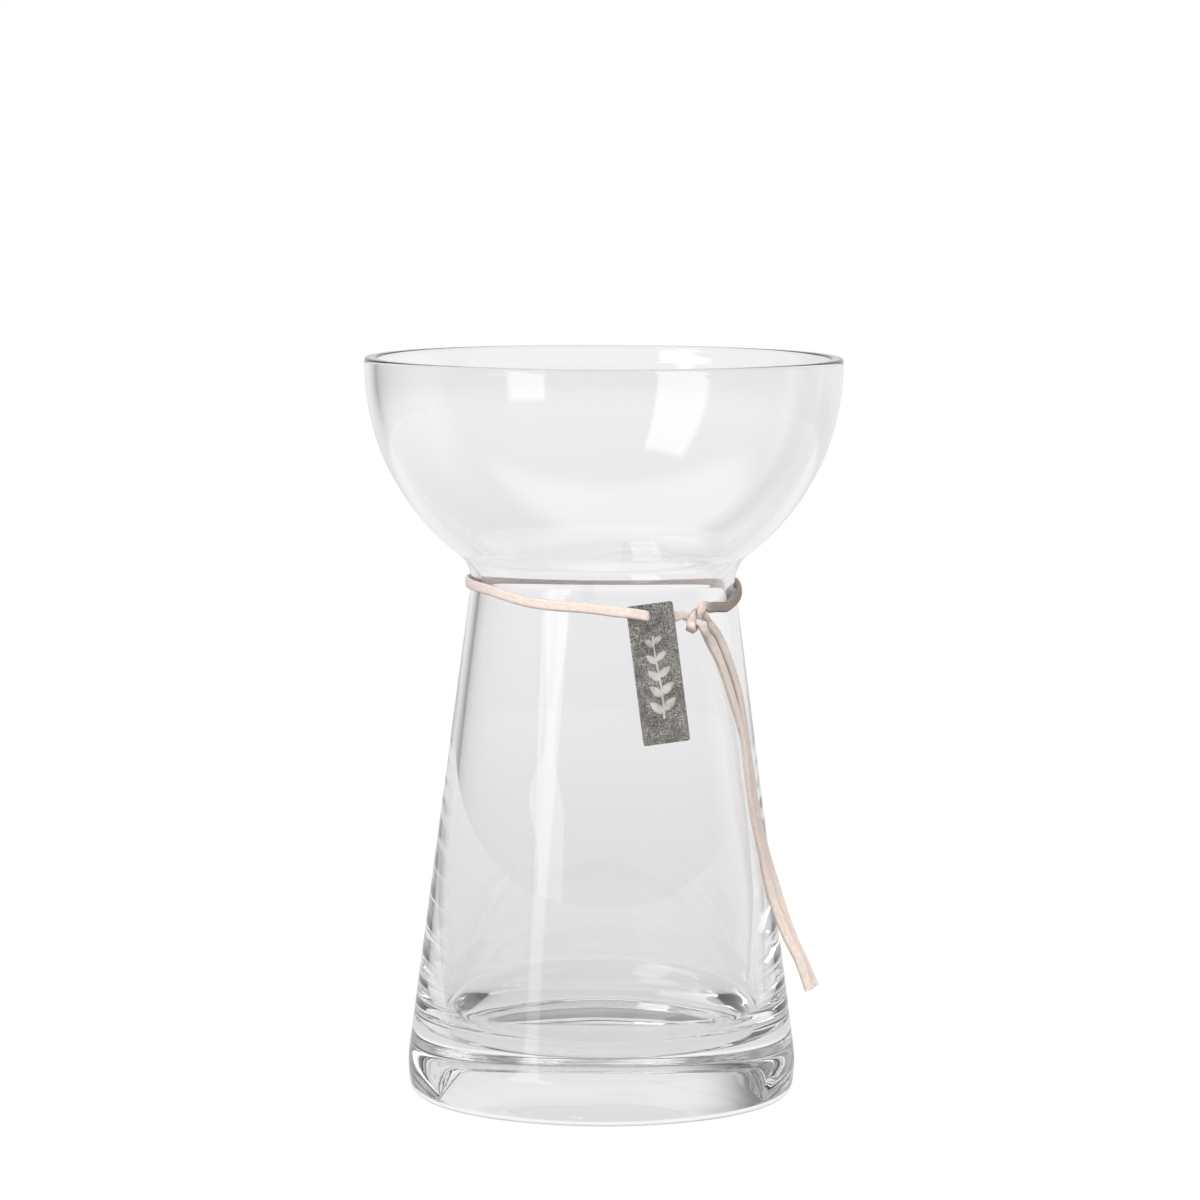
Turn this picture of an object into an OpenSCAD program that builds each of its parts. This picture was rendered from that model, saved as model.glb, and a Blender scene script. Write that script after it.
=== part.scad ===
// Clear glass vase: a half-round bowl on a waisted neck over a heavy flared foot,
// with a flat suede lace knotted round the neck and a small metal tag on the lace.
// Millimetres, +Z up. The origin is the centre of the resting face on the vase's axis.
// Angles round the vase are measured from the front (-Y) towards +X.

/* [Vase outside] */
// Overall height of the glass
vase_h = 216; // [200:1:240]
// Outer diameter of the bowl
bowl_d = 139.2; // [128:0.2:150]
// Height of the ground rim above the widest circle of the bowl
rim_rise = 2; // [0.5:0.5:8]
// Width of the bevel on both edges of the rim
rim_bevel = 0.5; // [0.2:0.1:1]
// Outer diameter at the waist
neck_d = 77; // [68:0.5:88]
// Radius of the hollow between bowl and foot
neck_hollow_r = 10; // [6:0.5:16]
// Outer diameter of the foot
foot_d = 113.6; // [102:0.2:128]
// Radius of the slow curve by which the flared side turns under
foot_round_r = 33; // [24:1:44]
// Radius of the rounded lower edge of the foot
foot_edge_r = 3; // [2:0.5:5]

/* [Vase inside] */
// Thickness of the bowl's wall
bowl_wall = 3.5; // [2.5:0.1:5]
// Thickness of the wall at the waist
neck_wall = 2.9; // [2:0.1:4]
// Thickness of the wall just above the chamber's floor
chamber_wall = 7.6; // [5:0.2:10]
// Thickness of the base under the chamber
base_t = 16.5; // [10:0.5:24]
// Radius of the corner between the chamber's wall and its floor
floor_corner_r = 12; // [6:1:18]
// Diameter of the shallow hollow under the base
punt_d = 76; // [60:1:80]
// Depth of that hollow
punt_depth = 3.4; // [1:0.1:4]

/* [Lace] */
// Width of the flat lace
lace_w = 3; // [2.4:0.1:3.2]
// Thickness of the lace
lace_t = 1.4; // [1:0.1:1.5]
// Clearance between the lace and the glass
lace_gap = 0.3; // [0.2:0.05:0.6]
// Drop of the loop below the waist at the back of the vase
loop_drop = 0.4; // [0:0.1:2]
// Further drop of the loop on its way to the knot
loop_dip = 7.2; // [4:0.1:10]
// Angle of the knot round the vase
knot_az = 39; // [30:1:45]
// Distance of the knot's middle from the glass
knot_lift = 2.5; // [2.4:0.1:3.5]

/* [Tag] */
// Width of the tag
tag_w = 13.6; // [10:0.2:18]
// Length of the tag
tag_h = 40; // [30:1:50]
// Thickness of the tag
tag_t = 1.5; // [1:0.1:1.6]
// Radius of the tag's corners
tag_corner_r = 0.8; // [0.4:0.1:2]
// Width of the bevel round the tag's faces
tag_bevel = 0.25; // [0.1:0.05:0.4]
// Diameter of the lace hole in the tag
tag_hole_d = 4.4; // [3.8:0.1:5.5]
// Distance of the hole's centre below the tag's top edge
tag_hole_drop = 3.7; // [3.2:0.1:6]
// Clearance between the glass and the back of the tag at its hole
tag_standoff = 1.5; // [1.5:0.1:3]
// Angle of the tag's hole round the vase
tag_az = 19; // [16:1:21]

/* [Hidden] */

// Steps in the vase's arcs, in its tapering inner wall, and round it
bowl_steps = 24;
hollow_steps = 12;
edge_steps = 8;
wall_steps = 18;
round_fn = 144;
// How far a cut runs past the face that it opens
overrun = 1;
// Power by which the chamber's wall thickens towards the floor
thicken = 2.5;
// How far the foot's side leans in where its slow curve meets the lower edge
foot_turn = 12;

// Angle of the loop's lowest place, and the power that narrows the dip
dip_az = 37;
dip_power = 6;
// Angles at which the loop leaves the glass, left of the tag and right of the knot
leave_left_az = -12;
leave_right_az = 62;
// Stops on the part of the loop that hugs the neck
neck_stops = 52;

// The tag's turns: right side proud, how much less it leans than the flared glass,
// so that its foot stands further off than its hole, and foot to the right
tag_proud = 9.6;
tag_ease = 1.1;
tag_swing = 6.6;

// The overhand knot: turn of its figure, size of its lobes, depth of its weave,
// and how long the lace lies flat where two strands cross
knot_turn = -35;
knot_lobe = 1.3;
knot_weave = 1.22;
knot_flat = 32;
// Where the two strands run within the figure, in degrees of its parameter
left_strand = [370, 360, 348];
right_strand = [255, 240, 225, 210, 195, 180, 165, 150, 135, 120, 105, 90, 75, 60];
// Width of the lace in the knot, mean and swing, and its thickness, as shares of its own
knot_w_shares = [0.77, 0.12];
knot_t_share = 0.84;
// The lace in the tag's hole, width and thickness, as shares of its own
pinch_shares = [0.73, 0.82];
// Corners taken off the lace's section, as a share of its thickness
lace_corner_share = 0.27;

// Left tail from its tip up to the knot: [place, which way the face looks]
left_tail = [
    [[60.4, -18.6, 33.2], [0.34, -0.94, 0.1]],
    [[57.5, -18.2, 41.4], [0.34, -0.94, 0.1]],
    [[53.2, -17.8, 50.2], [0.34, -0.94, 0.1]],
    [[49.0, -17.9, 61.7], [0.5, -0.87, 0.1]],
    [[46.3, -19.0, 73.1], [0.82, -0.57, 0.1]],
    [[43.6, -20.6, 85.0], [0.91, -0.42, 0.1]],
    [[42.0, -21.3, 96.4], [0.9, -0.44, 0.1]],
    [[40.6, -20.9, 107.4], [0.89, -0.46, 0.1]],
    [[37.1, -23.0, 119.5], [0.85, -0.53, 0.1]],
    [[33.5, -25.8, 130.2], [0.79, -0.61, 0.1]],
    [[30.6, -28.6, 136.0], [0.74, -0.67, 0.1]],
];
// Right tail from the knot down to its tip
right_tail = [
    [[33.4, -24.6, 136.6], [0.8, -0.6, 0.1]],
    [[36.1, -22.0, 130.2], [0.85, -0.52, 0.1]],
    [[39.4, -18.8, 119.5], [0.9, -0.43, 0.1]],
    [[41.4, -17.7, 107.4], [0.92, -0.39, 0.1]],
    [[43.0, -17.7, 96.4], [0.92, -0.38, 0.1]],
    [[44.8, -17.2, 85.0], [0.93, -0.36, 0.1]],
    [[47.5, -16.0, 73.1], [0.82, -0.57, 0.1]],
    [[50.8, -15.0, 61.7], [0.5, -0.87, 0.1]],
    [[54.6, -15.6, 50.2], [0.34, -0.94, 0.1]],
    [[58.5, -16.1, 41.4], [0.34, -0.94, 0.1]],
    [[61.9, -16.3, 33.8], [0.34, -0.94, 0.1]],
];
// Ends of the strands, from the knot's middle: [right, up, outward], then the face.
// The outermost stop of each is where the knot ends; the others are squeezed like it.
left_exit = [[[2.2, -3.7, 0.85], [0.2, 0, 1]], [[1.2, -2.6, 1.15], [0.1, 0, 1]]];
left_entry = [
    [[-2.7, 0.75, -1.2], [0, 0, 1]],
    [[-4.1, 1.15, -1.45], [0, 0, 1]],
    [[-5.7, 0.9, -1.85], [-0.1, 0, 1]],
];
right_entry = [
    [[5.9, 2.6, -0.6], [0.1, 0, 1]],
    [[3.5, 3.3, 0.55], [0, 0.1, 1]],
    [[1.75, 2.75, 1.05], [0, 0.1, 1]],
];
right_exit = [[[6.1, -2.9, -0.4], [0.4, 0, 0.9]]];
// Loop between knot and tag: [angle, distance from the glass, height above the dip]
loop_to_tag = [[27.5, 1.0, 0.5], [24.5, 1.0, 0.3]];
// Loop through the tag's hole, from its centre: [right, outward, up]
through_tag = [
    [2.2, -1.72, -0.2], [1.5, -1.55, -0.15], [0.7, -0.8, -0.1], [0, 0, 0],
    [-0.7, 0.8, 0.1], [-1.5, 1.55, 0.2], [-3, 1.75, 0.5], [-7.2, 1.75, 1.2],
];
// The places of those stops that the hole pinches
pinched = [2, 3, 4];
// Loop from the tag back to the glass, and from the glass to the knot
loop_from_tag = [[4.5, 2.45, 0], [0, 1.7, 0], [-6, 1.15, 0]];
loop_to_knot = [[57, 1.3, 0.8], [52, 1.75, 1.7]];

// Middle of the bowl's sphere, and the waist that its wall runs down to
bowl_r = bowl_d / 2;
bowl_z = vase_h - rim_rise;
bowl_in_r = bowl_r - bowl_wall;
hollow_c = [neck_d / 2 + neck_hollow_r, 0];
neck_drop = sqrt((bowl_r + neck_hollow_r) ^ 2 - hollow_c.x ^ 2);
neck_z = bowl_z - neck_drop;
hollow_z_c = [hollow_c.x, neck_z];
// The foot's two arcs meet where their common radius leans down by foot_turn
foot_spare = foot_round_r - foot_edge_r;
foot_c = [foot_d / 2 - foot_round_r, foot_edge_r + foot_spare * sin(foot_turn)];
edge_c = [foot_c.x + foot_spare * cos(foot_turn), foot_edge_r];
// The flared side touches the hollow's circle and the foot's slow curve
cone_a = tangent_angle(foot_c, foot_round_r, hollow_z_c, neck_hollow_r);
cone_top = hollow_z_c - neck_hollow_r * [cos(cone_a), sin(cone_a)];
cone_slope = tan(cone_a);
// Inner hollow at the waist, touching the bowl's inner sphere
throat_r = neck_d / 2 - neck_wall;
throat_hollow_r = (throat_r ^ 2 + neck_drop ^ 2 - bowl_in_r ^ 2) / (2 * (bowl_in_r - throat_r));
throat_c = [throat_r + throat_hollow_r, neck_z];
corner_z = base_t + floor_corner_r;

function unit(v) = v / norm(v);
function arc_pts(c, r, a0, a1, n) =
    [for (i = [0:n]) let (a = a0 + (a1 - a0) * i / n) c + r * [cos(a), sin(a)]];
// Angle of the outward normal of the line that touches two circles on opposite sides
function tangent_angle(f, fr, g, gr) =
    atan2(g.y - f.y, g.x - f.x) - acos((fr + gr) / norm(g - f));
// Outer radius of the glass between foot and waist
function outer_r(z) = z > cone_top.y
    ? hollow_c.x - sqrt(max(0, neck_hollow_r ^ 2 - (z - neck_z) ^ 2))
    : cone_top.x + (cone_top.y - z) * cone_slope;
// Thickness of the wall below the waist
function wall_at(z) =
    neck_wall + (chamber_wall - neck_wall) * ((neck_z - z) / (neck_z - corner_z)) ^ thicken;

// A place at angle az round the vase
function around(az, r, z) = [r * sin(az), -r * cos(az), z];
function loop_z(az) = neck_z - loop_drop - loop_dip * ((1 + cos(az - dip_az)) / 2) ^ dip_power;
function on_glass(az, lift, rise) = let (z = loop_z(az) + rise) around(az, outer_r(z) + lift, z);
// Uphill along the glass, which is steeper as it nears the waist
function lean_at(z) = min(cone_a, asin(min(1, (neck_z - z) / neck_hollow_r)));
function uphill(az, z) = around(az, -sin(lean_at(z)), cos(lean_at(z)));

// Frame of the knot on the flared glass: right, up and outward from its middle
knot_z = loop_z(knot_az);
knot_c = around(knot_az, outer_r(knot_z) + knot_lift, knot_z);
function knot_dir(v) = v.x * around(knot_az + 90, 1, 0)
    + v.y * around(knot_az, -sin(cone_a), cos(cone_a))
    + v.z * around(knot_az, cos(cone_a), sin(cone_a));
function turned(v, a) = [v.x * cos(a) - v.y * sin(a), v.x * sin(a) + v.y * cos(a), v.z];

// Frame of the tag's hole before the tag swings
hole_z = loop_z(tag_az);
hole_r = outer_r(hole_z) + tag_standoff + tag_t / 2;
tag_face_az = tag_az - tag_proud;
tag_lean = cone_a - tag_ease;
function tag_dir(v) = v.x * around(tag_face_az + 90, 1, 0)
    + v.y * around(tag_face_az, cos(tag_lean), sin(tag_lean))
    + v.z * around(tag_face_az, -sin(tag_lean), cos(tag_lean));

// A stop on the lace: its place, the way its face looks, its width and thickness
function stop(p, n, w, t) = [p.x, p.y, p.z, n.x, n.y, n.z, w, t];
function place_of(s) = [s[0], s[1], s[2]];
function face_of(s) = [s[3], s[4], s[5]];

// The knot's figure is a trefoil. The lace lies flat where strands cross, one over the
// other, and turns over on its edge round each lobe.
function knot_stop(a, side) = let (
        p = knot_lobe * [sin(a) + 2 * sin(2 * a), cos(a) - 2 * cos(2 * a), 0],
        height = [0, 0, knot_weave * (sin(3 * a) + sin(9 * a) / 3)],
        outside = unit([4 * sin(2 * a) - sin(a), -cos(a) - 4 * cos(2 * a), 0]),
        flip = 1.5 * (a - 120) - knot_flat * sin(3 * a),
        face = cos(flip) * [0, 0, 1] + sin(flip) * outside)
    stop(knot_c + knot_dir(turned(p + height, knot_turn)), side * knot_dir(turned(face, knot_turn)),
        lace_w * (knot_w_shares[0] - knot_w_shares[1] * cos(3 * a)), lace_t * knot_t_share);
function knot_end(e, squeeze) =
    stop(knot_c + knot_dir(e[0]), knot_dir(e[1]), lace_w * squeeze, lace_t * squeeze);
function squeezed(ends) = [for (e = ends) knot_end(e, knot_t_share)];

// Loop stops carry no face yet: it comes from the way the lace runs along the glass.
// The loop goes round the back of the neck, against the way the angles are measured.
hugged = 360 + leave_left_az - leave_right_az;
loop_places = concat(
    [for (s = loop_to_tag) on_glass(s[0], s[1], s[2])],
    [for (s = through_tag) around(tag_az, hole_r, hole_z) + tag_dir(s)],
    [for (s = loop_from_tag) on_glass(s[0], s[1], s[2])],
    [for (i = [0:neck_stops]) on_glass(leave_left_az - hugged * i / neck_stops, lace_gap + lace_t / 2, 0)],
    [for (s = loop_to_knot) on_glass(s[0], s[1], s[2])]);
left_knot_end = knot_end(left_entry[2], 1);
right_knot_end = knot_end(right_entry[0], 1);
loop_ends = [place_of(left_knot_end), place_of(right_knot_end)];
function loop_face(i) = let (
        a = i == 0 ? loop_ends[0] : loop_places[i - 1],
        b = i == len(loop_places) - 1 ? loop_ends[1] : loop_places[i + 1],
        p = loop_places[i])
    unit(cross(uphill(atan2(p.x, -p.y), p.z), b - a));
hole_stops = [for (i = pinched) i + len(loop_to_tag)];
loop_stops = [for (i = [0:len(loop_places) - 1])
    let (held = len(search(i, hole_stops)) > 0, shares = held ? pinch_shares : [1, 1])
    stop(loop_places[i], loop_face(i), lace_w * shares[0], lace_t * shares[1])];

// The whole lace in one run, from the left tail's tip to the right tail's tip
left_tail_stops = [for (s = left_tail) stop(s[0], s[1], lace_w, lace_t)];
left_knot_stops = concat([knot_end(left_exit[0], 1)], squeezed([left_exit[1]]),
    [for (a = left_strand) knot_stop(a, 1)], squeezed([left_entry[0], left_entry[1]]), [left_knot_end]);
right_knot_stops = concat([right_knot_end], squeezed([right_entry[1], right_entry[2]]),
    [for (a = right_strand) knot_stop(a, -1)], [knot_end(right_exit[0], 1)]);
right_tail_stops = [for (s = right_tail) stop(s[0], s[1], lace_w, lace_t)];
lace_stops = concat(left_tail_stops, left_knot_stops, loop_stops, right_knot_stops, right_tail_stops);

// Where the lace's named stretches begin and end in that run
left_exit_i = len(left_tail_stops);
left_entry_i = left_exit_i + len(left_knot_stops) - 1;
right_entry_i = left_entry_i + len(loop_stops) + 1;
right_exit_i = right_entry_i + len(right_knot_stops) - 1;
last_i = len(lace_stops) - 1;

// Smooth curve through the stops, with steps pieces between two of them
steps = 2;
function reach(i) = norm(place_of(lace_stops[i + 1]) - place_of(lace_stops[i]));
function drift(i) = let (a = max(i - 1, 0), b = min(i + 1, last_i))
    (lace_stops[b] - lace_stops[a]) / ((i > 0 ? reach(i - 1) : 0) + (i < last_i ? reach(i) : 0));
function between(i, s) = let (a = lace_stops[i], b = lace_stops[i + 1], l = reach(i))
    a * (1 - 3 * s ^ 2 + 2 * s ^ 3) + b * (3 * s ^ 2 - 2 * s ^ 3)
    + l * drift(i) * (s - 2 * s ^ 2 + s ^ 3) + l * drift(i + 1) * (s ^ 3 - s ^ 2);
lace_curve = concat(
    [for (i = [0:last_i - 1]) for (k = [0:steps - 1]) between(i, k / steps)],
    [lace_stops[last_i]]);

// Oblong section of the lace with its four corners taken off
function section(w, t) = let (c = t * lace_corner_share)
    [for (q = [[1, 1], [-1, 1], [-1, -1], [1, -1]]) for (k = q.x * q.y > 0 ? [0, 1] : [1, 0])
        [q.x * (w / 2 - (k == 0 ? 0 : c)), q.y * (t / 2 - (k == 0 ? c : 0))]];
// The way the lace runs at a ring: the mean of the ways before and after it
function leg(i) = unit(place_of(lace_curve[i + 1]) - place_of(lace_curve[i]));
function heading(i) = unit(
    (i > 0 ? leg(i - 1) : [0, 0, 0]) + (i < len(lace_curve) - 1 ? leg(i) : [0, 0, 0]));
function lace_ring(i) = let (
        s = lace_curve[i],
        h = heading(i),
        side = unit(cross(h, face_of(s))),
        face = cross(side, h))
    [for (q = section(s[6], s[7])) place_of(s) + q.x * side + q.y * face];

// Solid stretch of the lace from one stop to another
module lace_stretch(from, to) {
    rings = [for (i = [from * steps:to * steps]) lace_ring(i)];
    n = len(rings[0]);
    last = len(rings) - 1;
    polyhedron(
        points = [for (r = rings) for (p = r) p],
        faces = concat(
            [[for (j = [n - 1:-1:0]) j], [for (j = [0:n - 1]) last * n + j]],
            [for (i = [0:last - 1]) for (j = [0:n - 1]) let (a = i * n, b = a + n, k = (j + 1) % n)
                each [[a + j, a + k, b + j], [a + k, b + k, b + j]]]),
        convexity = 6);
}

// Half section of the glass, from the middle of the base outwards and up, then back down inside
module glass_section() {
    inner_corner_r = outer_r(corner_z) - wall_at(corner_z);
    corner_c = [inner_corner_r - floor_corner_r, corner_z];
    bowl_a = atan2(-neck_drop, hollow_c.x);
    bowl_in_a = atan2(-neck_drop, throat_c.x);
    bowl_c = [0, bowl_z];
    rim_a = asin(rim_rise / bowl_r);
    rim_in_a = asin(rim_rise / bowl_in_r);
    rim_r = bowl_r * cos(rim_a);
    rim_in_r = bowl_in_r * cos(rim_in_a);
    polygon(concat(
        [[0, 0]],
        arc_pts(edge_c, foot_edge_r, -90, -foot_turn, edge_steps),
        [for (i = [1:edge_steps]) let (a = -foot_turn + (cone_a + foot_turn) * i / edge_steps)
            foot_c + foot_round_r * [cos(a), sin(a)]],
        arc_pts(hollow_z_c, neck_hollow_r, cone_a + 180, bowl_a + 180, hollow_steps),
        [for (i = [1:bowl_steps - 1]) bowl_c
            + bowl_r * [cos(bowl_a * (1 - i / bowl_steps)), sin(bowl_a * (1 - i / bowl_steps))]],
        [[bowl_r, bowl_z], [rim_r, vase_h - rim_bevel], [rim_r - rim_bevel, vase_h]],
        [[rim_in_r + rim_bevel, vase_h], [rim_in_r, vase_h - rim_bevel], [bowl_in_r, bowl_z]],
        [for (i = [1:bowl_steps - 1]) bowl_c
            + bowl_in_r * [cos(bowl_in_a * i / bowl_steps), sin(bowl_in_a * i / bowl_steps)]],
        arc_pts(throat_c, throat_hollow_r, bowl_in_a + 180, 180, hollow_steps),
        [for (i = [1:wall_steps - 1]) let (z = neck_z + (corner_z - neck_z) * i / wall_steps)
            [outer_r(z) - wall_at(z), z]],
        arc_pts(corner_c, floor_corner_r, 0, -90, edge_steps),
        [[0, base_t]]));
}

module vase() {
    // The hollow under the base is a shallow cap of a large sphere
    punt_r = ((punt_d / 2) ^ 2 + punt_depth ^ 2) / (2 * punt_depth);
    color([0.86, 0.9, 0.9, 0.45])
    difference() {
        rotate_extrude($fn = round_fn) glass_section();
        translate([0, 0, punt_depth - punt_r]) sphere(r = punt_r, $fn = round_fn);
    }
}

module lace_loop() {
    color([0.66, 0.56, 0.46]) lace_stretch(left_entry_i, right_entry_i);
}

module lace_knot() {
    color([0.7, 0.6, 0.5]) {
        lace_stretch(left_exit_i, left_entry_i);
        lace_stretch(right_entry_i, right_exit_i);
    }
}

module lace_tail_left() {
    color([0.82, 0.74, 0.66]) lace_stretch(0, left_exit_i);
}

module lace_tail_right() {
    color([0.76, 0.67, 0.58]) lace_stretch(right_exit_i, last_i);
}

// Outline of a bevelled slab, seen along its face
module slab_profile(w, t, bevel) {
    polygon([for (q = [[1, 1], [-1, 1], [-1, -1], [1, -1]]) for (k = q.x * q.y > 0 ? [0, 1] : [1, 0])
        [q.x * (w / 2 - (k == 0 ? 0 : bevel)), q.y * (t / 2 - (k == 0 ? bevel : 0))]]);
}

module tag() {
    middle_z = tag_hole_drop - tag_h / 2;
    flare = tag_bevel + overrun;
    color([0.43, 0.41, 0.38])
    rotate([0, 0, tag_az]) translate([0, -hole_r, hole_z])
    rotate([0, 0, -tag_proud]) rotate([-tag_lean, 0, 0]) rotate([0, -tag_swing, 0])
    difference() {
        translate([0, 0, middle_z]) intersection() {
            // Outline with rounded corners
            rotate([90, 0, 0]) linear_extrude(height = tag_t, center = true) union() {
                square([tag_w - 2 * tag_corner_r, tag_h], center = true);
                square([tag_w, tag_h - 2 * tag_corner_r], center = true);
                for (sx = [-1, 1]) for (sy = [-1, 1])
                    translate([sx * (tag_w / 2 - tag_corner_r), sy * (tag_h / 2 - tag_corner_r)])
                    circle(r = tag_corner_r, $fn = 24);
            }
            // Bevels along the sides, then along the ends
            linear_extrude(height = tag_h, center = true) slab_profile(tag_w, tag_t, tag_bevel);
            rotate([0, 90, 0]) linear_extrude(height = tag_w, center = true)
                slab_profile(tag_h, tag_t, tag_bevel);
        }
        rotate([90, 0, 0]) {
            cylinder(d = tag_hole_d, h = tag_t + 2 * overrun, center = true, $fn = 48);
            // Softened edge of the hole on both faces
            for (s = [0, 1]) mirror([0, 0, s]) translate([0, 0, tag_t / 2 - tag_bevel])
                cylinder(d1 = tag_hole_d, d2 = tag_hole_d + 2 * flare, h = flare, $fn = 48);
        }
    }
}

vase();
lace_loop();
lace_knot();
lace_tail_left();
lace_tail_right();
tag();
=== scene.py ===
"""Clear glass vase with a suede lace round its neck and a small metal tag on the lace."""
import math

import bmesh
import bpy
from mathutils import Matrix, Vector, noise


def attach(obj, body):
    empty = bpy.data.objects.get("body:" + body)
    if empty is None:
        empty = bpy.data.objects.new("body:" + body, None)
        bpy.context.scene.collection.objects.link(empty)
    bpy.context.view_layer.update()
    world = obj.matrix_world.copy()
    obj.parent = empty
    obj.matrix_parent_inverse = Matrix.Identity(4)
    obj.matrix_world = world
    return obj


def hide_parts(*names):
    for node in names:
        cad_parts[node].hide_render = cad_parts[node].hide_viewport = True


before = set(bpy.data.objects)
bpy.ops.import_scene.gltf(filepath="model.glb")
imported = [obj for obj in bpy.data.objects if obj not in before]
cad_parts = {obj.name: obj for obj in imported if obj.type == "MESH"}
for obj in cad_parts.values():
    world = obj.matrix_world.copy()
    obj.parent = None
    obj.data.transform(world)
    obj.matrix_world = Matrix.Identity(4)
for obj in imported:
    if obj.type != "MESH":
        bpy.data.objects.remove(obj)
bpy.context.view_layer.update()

bl_info = {
    "name": "Glass Vase With Lace And Tag",
    "version": (1, 0, 0),
    "blender": (4, 5, 0),
    "location": "View3D > Sidebar > Vase",
    "description": "Builds a waisted glass vase, its knotted suede lace and its metal tag",
    "category": "Add Mesh",
}

MM = 0.001


# Settings


class GlassSettings(bpy.types.PropertyGroup):
    """Sizes and colour of the vase."""

    height: bpy.props.FloatProperty(
        name="Height", description="Overall height of the glass", default=0.216, unit="LENGTH")
    bowl: bpy.props.FloatProperty(
        name="Bowl", description="Outer diameter of the bowl", default=0.1392, unit="LENGTH")
    neck: bpy.props.FloatProperty(
        name="Waist", description="Outer diameter at the waist", default=0.077, unit="LENGTH")
    foot: bpy.props.FloatProperty(
        name="Foot", description="Outer diameter of the foot", default=0.1136, unit="LENGTH")
    base: bpy.props.FloatProperty(
        name="Base", description="Thickness of the solid base", default=0.0165, unit="LENGTH")
    tint: bpy.props.FloatVectorProperty(
        name="Tint", description="Colour of the clear glass", default=(0.982, 0.976, 0.983),
        subtype="COLOR")
    waves: bpy.props.FloatProperty(
        name="Waves", description="Height of the slow waves left by blowing", default=0.00006,
        unit="LENGTH", precision=6)


class LaceSettings(bpy.types.PropertyGroup):
    """Sizes and colours of the suede lace."""

    width: bpy.props.FloatProperty(
        name="Width", description="Width of the flat lace", default=0.003, unit="LENGTH")
    thickness: bpy.props.FloatProperty(
        name="Thickness", description="Thickness of the lace", default=0.0014, unit="LENGTH")
    pale: bpy.props.FloatVectorProperty(
        name="Suede", description="Colour of the brushed faces", default=(0.88, 0.765, 0.7),
        subtype="COLOR")
    shade: bpy.props.FloatVectorProperty(
        name="Nap shade", description="Colour down between the fibres", default=(0.55, 0.42, 0.33),
        subtype="COLOR")
    edge: bpy.props.FloatVectorProperty(
        name="Cut edge", description="Colour of the cut edges", default=(0.42, 0.3, 0.225),
        subtype="COLOR")


class TagSettings(bpy.types.PropertyGroup):
    """Sizes and colours of the metal tag."""

    width: bpy.props.FloatProperty(
        name="Width", description="Width of the tag", default=0.0136, unit="LENGTH")
    length: bpy.props.FloatProperty(
        name="Length", description="Length of the tag", default=0.04, unit="LENGTH")
    thickness: bpy.props.FloatProperty(
        name="Thickness", description="Thickness of the tag", default=0.0015, unit="LENGTH")
    metal: bpy.props.FloatVectorProperty(
        name="Metal", description="Colour of the rubbed metal", default=(0.95, 0.92, 0.87),
        subtype="COLOR")
    patina: bpy.props.FloatVectorProperty(
        name="Patina", description="Colour of the metal in its hollows",
        default=(0.125, 0.116, 0.106), subtype="COLOR")
    relief: bpy.props.FloatProperty(
        name="Relief", description="Height of the raised sprig", default=0.0005, unit="LENGTH",
        precision=5)


class StageSettings(bpy.types.PropertyGroup):
    """Floor, light and camera."""

    floor_radius: bpy.props.FloatProperty(
        name="Floor radius", description="Radius of the round floor", default=0.8, unit="LENGTH")
    backdrop: bpy.props.FloatProperty(
        name="Backdrop", description="Brightness of what is seen through the glass", default=0.968)
    key: bpy.props.FloatProperty(
        name="Key light", description="Brightness of the soft light from the left", default=2.5)
    fill: bpy.props.FloatProperty(
        name="Fill light", description="Brightness of the soft light from the front", default=1.9)
    window: bpy.props.FloatProperty(
        name="Window", description="Brightness of the window that the glass mirrors", default=1.9)
    distance: bpy.props.FloatProperty(
        name="Camera distance", description="From the vase's axis", default=1.4422, unit="LENGTH")
    eye: bpy.props.FloatProperty(
        name="Camera height", description="Above the floor", default=0.2918, unit="LENGTH")
    lens: bpy.props.FloatProperty(
        name="Lens", description="Focal length in millimetres on a 36 mm sensor", default=148.98)


def settings(group):
    return getattr(bpy.context.scene, group)


# Shape of the glass, in millimetres

RIM_RISE = 2.0
RIM_ROUND = 0.8
HOLLOW_R = 10.0
FOOT_ROUND_R = 33.0
FOOT_EDGE_R = 3.0
FOOT_TURN = 12.0
BOWL_WALL = 3.5
NECK_WALL = 2.9
CHAMBER_WALL = 7.6
THICKEN = 2.5
FLOOR_CORNER_R = 12.0
PUNT_R = 38.0
PUNT_DEPTH = 3.4
RIPPLE = 0.15
RIPPLE_TURNS = 0.08
RIPPLE_FADE = 8
UNDER_STEPS = 20
CONE_STEPS = 24
WALL_STEPS = 36
SPIN_STEPS = 240
SPIN_WELD = 0.000002


def cosd(a):
    return math.cos(math.radians(a))


def sind(a):
    return math.sin(math.radians(a))


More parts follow.
